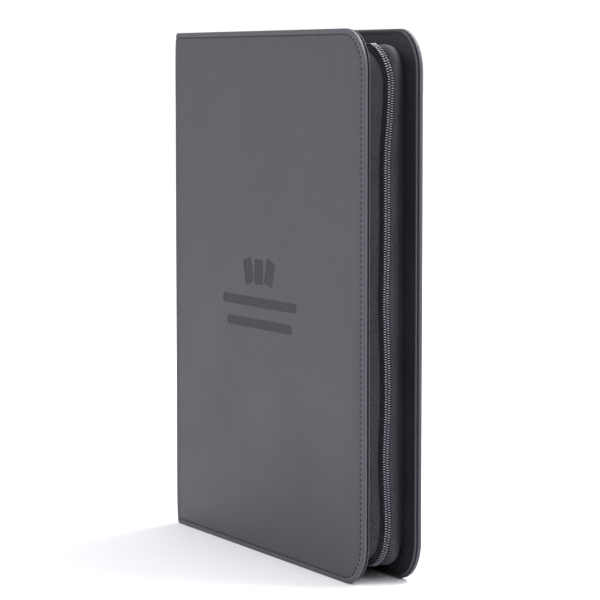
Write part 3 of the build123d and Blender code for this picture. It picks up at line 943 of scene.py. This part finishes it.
def coil(name, start_top, side, shift):
    """One half's coil: a flattened helix of nylon wire sewn along the tape's edge."""
    fine, *_ = stations(COIL_START, 0.4, arc_steps=60)
    on_top = (fine[:, 3] == 1) & (fine[:, 2] == 0)
    fine = fine[~(on_top & (fine[:, 0] < start_top))]
    distance = along(fine, COIL_INSET)
    turns = int(distance[-1] / COIL_PITCH) - 1
    per_turn, sides = 16, 6
    count = turns * per_turn
    t = np.arange(count) / per_turn
    phase = t % 1
    # the leg on top crosses almost square, and the one below carries the wire on to the next turn
    below = TOP_LEAN + 2 * (1 - TOP_LEAN) * (phase - 0.5)
    lean = np.where(phase < 0.5, 2 * TOP_LEAN * phase, below)
    where = distance[-1] - (turns - np.floor(t) - lean + shift) * COIL_PITCH
    spots = np.stack([np.interp(where, distance, fine[:, i]) for i in range(4)], axis=1)
    spots[:, 2:] /= np.linalg.norm(spots[:, 2:], axis=1)[:, None]
    c, s = np.cos(2 * math.pi * t), np.sin(2 * math.pi * t)
    y = COIL_MID + COIL_REACH * np.sign(c) * np.abs(c) ** LEG_POWER
    inset = COIL_INSET - COIL_RISE * np.sign(s) * np.abs(s) ** HEAD_POWER
    reach = CORNER_R - inset
    across = side * y + sway(edge_place(spots))
    centre = np.stack([spots[:, 0] + spots[:, 2] * reach, across, spots[:, 1] + spots[:, 3] * reach], axis=1)
    tangent = np.gradient(centre, axis=0)
    tangent /= np.linalg.norm(tangent, axis=1)[:, None]
    out = np.stack([spots[:, 2], np.zeros(count), spots[:, 3]], axis=1)
    first = np.cross(tangent, out)
    first /= np.linalg.norm(first, axis=1)[:, None]
    second = np.cross(tangent, first)
    ring = np.arange(sides) * 2 * math.pi / sides
    spokes = np.cos(ring)[None, :, None] * first[:, None, :]
    spokes = spokes + np.sin(ring)[None, :, None] * second[:, None, :]
    points = (centre[:, None, :] + WIRE_R * spokes).reshape(-1, 3)
    made = piece(name, points, ring_faces(count, sides), COIL)
    # painted light and shade: the wire's outer tops are painted lit and its sides and underside near-black,
    # standing in for the shade between the turns; the corners are painted lighter
    height = (spokes * out[:, None, :]).sum(axis=2) * WIRE_R + (COIL_INSET - inset)[:, None]
    bend = np.exp(-(((np.abs(edge_place(spots)) - BEND_PLACE) / BEND_WIDTH) ** 2))
    painted_light = np.clip((height - PAINTED_LIGHT_HEIGHT) / PAINTED_LIGHT_FADE, 0, 1)
    painted_light = painted_light * np.where(y < CORD_Y, 1.0, PAINTED_LIGHT_OUTSIDE)[:, None]
    painted_light = np.maximum(painted_light, BEND_PAINTED_LIGHT * bend[:, None])
    mark(made, "painted_light", painted_light.ravel())
    return made


def sewing_line(name, side, start):
    """The sewing line that crosses the coil's legs and holds them on the tape."""
    turn = np.linspace(0, 2 * math.pi, 9)[:-1]
    inset = COIL_INSET - CORD_LIFT
    section = [(side * (CORD_Y + CORD_R * math.cos(a)), inset + CORD_R * math.sin(a)) for a in turn]
    return sweep(name, section, start, THREAD, step=1.5)


for name, side, body, start, shift in (
    ("front", -1, "front_cover", FRONT_COIL_START, 0.0),
    ("rear", 1, "back_cover", COIL_START, 0.5),
):
    wire = coil(f"{name}_coil", start, side, shift)
    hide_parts(f"{name}_zipper_coil")
    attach(wire, body)
    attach(sewing_line(f"{name}_coil_stitch", side, start), body)

FRONT_TAPE_KNOTS = [(-0.6, 11.15), (-1.8, 11.15), (-2.3, 11.35), (-2.6, 12.4), (-2.65, 14.5)]
FRONT_TAPE_KNOTS += [(-4, 16.2), (-9, 17.4)]
section = thick_line(spline(FRONT_TAPE_KNOTS, 34), TAPE_T, 4)
front_tape = sweep("front_tape", section, GUSSET_START, TAPE)
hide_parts("front_zipper_tape")
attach(front_tape, "front_cover")
REAR_TAPE_KNOTS = [(0.6, 11.15), (2.6, 11.15), (4.9, 11.3)]
section = thick_line(spline(REAR_TAPE_KNOTS, 10), TAPE_T, 4)
rear_tape = sweep("rear_tape", section, GUSSET_START, TAPE)
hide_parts("rear_zipper_tape")
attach(rear_tape, "back_cover")


# ---- materials on the CAD nodes, by the last word of the name; the rest are pages ----
NODE_MATERIALS = {
    "padding": FOAM,
    "board": BOARD,
    "lining": LINING,
    "strip": GUSSET,
    "tabs": TAPE,
    "stop": METAL,
    "body": METAL,
    "crown": METAL,
    "tab": METAL,
    "emblem": EMBLEM,
    "gusset": GUSSET,
    "tape": TAPE,
    "coil": COIL,
    "skin": SKIN,
}
for name, obj in nodes.items():
    material = NODE_MATERIALS.get(name.split("_")[-1], FILM)
    obj.data.materials.clear()
    obj.data.materials.append(material)

SOFT_EDGE = 0.12
SLIDER_NODES = ["slider_body", "slider_crown", "pull_tab"]
STOP_NODES = ["front_top_stop", "rear_top_stop", "zipper_bottom_stop"]
for name in SLIDER_NODES + STOP_NODES:
    soften = nodes[name].modifiers.new("soften", "BEVEL")
    soften.width, soften.segments, soften.limit_method = SOFT_EDGE * MM, 2, "ANGLE"


# ---- floor, light and camera ----
def floor_material():
    """Matt white paper with the faintest tooth, with painted light that makes it paler away from the object.
    """
    material, tree, shader = new_material("floor")
    tooth = noise(tree, 60, 3)
    reach = node(tree, "ShaderNodeVectorMath", {0: object_place(tree)}, operation="LENGTH").outputs["Value"]
    # painted light: darker and lilac near the object, paler further out, making up for the lamps' falloff
    near = mix(tree, tooth, (0.80, 0.785, 0.82, 1), (0.815, 0.80, 0.835, 1))
    shade = mix(tree, ramp(tree, reach, 0.5, 2.5), near, (0.97, 0.97, 0.97, 1))
    tree.links.new(shade, shader.inputs["Base Color"])
    shader.inputs["Roughness"].default_value = 0.9
    shader.inputs["Specular IOR Level"].default_value = 0.1
    return material


FLOOR_HALF = 30
floor_corners = [(sx * FLOOR_HALF, sy * FLOOR_HALF, 0) for sx, sy in ((-1, -1), (1, -1), (1, 1), (-1, 1))]
floor_mesh = bpy.data.meshes.new("floor")
floor_mesh.from_pydata(floor_corners, [], [(0, 1, 2, 3)])
floor_mesh.materials.append(floor_material())
floor = bpy.data.objects.new("floor", floor_mesh)
bpy.context.scene.collection.objects.link(floor)


def softbox(name, place_at, target, width, height, watts):
    """A rectangular area light aimed at a point."""
    light = bpy.data.lights.new(name, "AREA")
    light.shape = "RECTANGLE"
    light.size, light.size_y, light.energy = width, height, watts
    obj = bpy.data.objects.new(name, light)
    obj.location = place_at
    obj.rotation_euler = (Vector(target) - Vector(place_at)).to_track_quat("-Z", "Y").to_euler()
    bpy.context.scene.collection.objects.link(obj)
    return obj


# name, place, width and height in metres, watts
CENTRE = (0.0, 0.0, 0.17)
softbox("key", (-0.5, -1.6, 0.9), CENTRE, 1.2, 1.2, 9.5)
softbox("fill", (1.7, -0.1, 1.2), CENTRE, 0.8, 1.2, 9)
softbox("top", (0.1, 0.8, 1.4), CENTRE, 1.5, 0.5, 42)
softbox("rim", (0.9, 1.5, 0.7), CENTRE, 0.8, 1.2, 10)


def studio_world():
    """A white tent, brighter overhead than at the horizon, and plain white where the camera sees it."""
    world = bpy.data.worlds.new("studio")
    world.use_nodes = True
    tree = world.node_tree
    coordinates = node(tree, "ShaderNodeTexCoord").outputs["Generated"]
    height = node(tree, "ShaderNodeSeparateXYZ", {"Vector": coordinates}).outputs["Z"]
    tent = tree.nodes["Background"]
    tent.inputs["Color"].default_value = (1.0, 1.0, 1.0, 1.0)
    tree.links.new(ramp(tree, height, 0.0, 0.8, 0.4, 1.5), tent.inputs["Strength"])
    plain = node(tree, "ShaderNodeBackground", {"Color": (1.0, 1.0, 1.0, 1.0), "Strength": 1.02})
    seen = node(tree, "ShaderNodeLightPath").outputs["Is Camera Ray"]
    both = node(tree, "ShaderNodeMixShader", {0: seen, 1: tent.outputs[0], 2: plain.outputs[0]})
    tree.links.new(both.outputs[0], tree.nodes["World Output"].inputs["Surface"])
    return world


bpy.context.scene.world = studio_world()
bpy.context.scene.view_settings.view_transform = "Standard"
bpy.context.scene.view_settings.look = "None"

# the photograph's camera: lens in millimetres, place in metres, azimuth and elevation in degrees
LENS, SENSOR = 164.14, 36.0
CAMERA_AT = (1.6356, -0.8140, 0.3248)
CAMERA_AZIMUTH, CAMERA_ELEVATION = 63.367, 4.830
camera_data = bpy.data.cameras.new("camera")
camera_data.lens = LENS
camera_data.sensor_width = SENSOR
camera_data.clip_start, camera_data.clip_end = 0.05, 100.0
camera = bpy.data.objects.new("camera", camera_data)
camera.location = CAMERA_AT
yaw, pitch = math.radians(CAMERA_AZIMUTH), math.radians(CAMERA_ELEVATION)
looking = Vector((-math.sin(yaw) * math.cos(pitch), math.cos(yaw) * math.cos(pitch), -math.sin(pitch)))
camera.rotation_euler = looking.to_track_quat("-Z", "Y").to_euler()
bpy.context.scene.collection.objects.link(camera)
bpy.context.scene.camera = camera
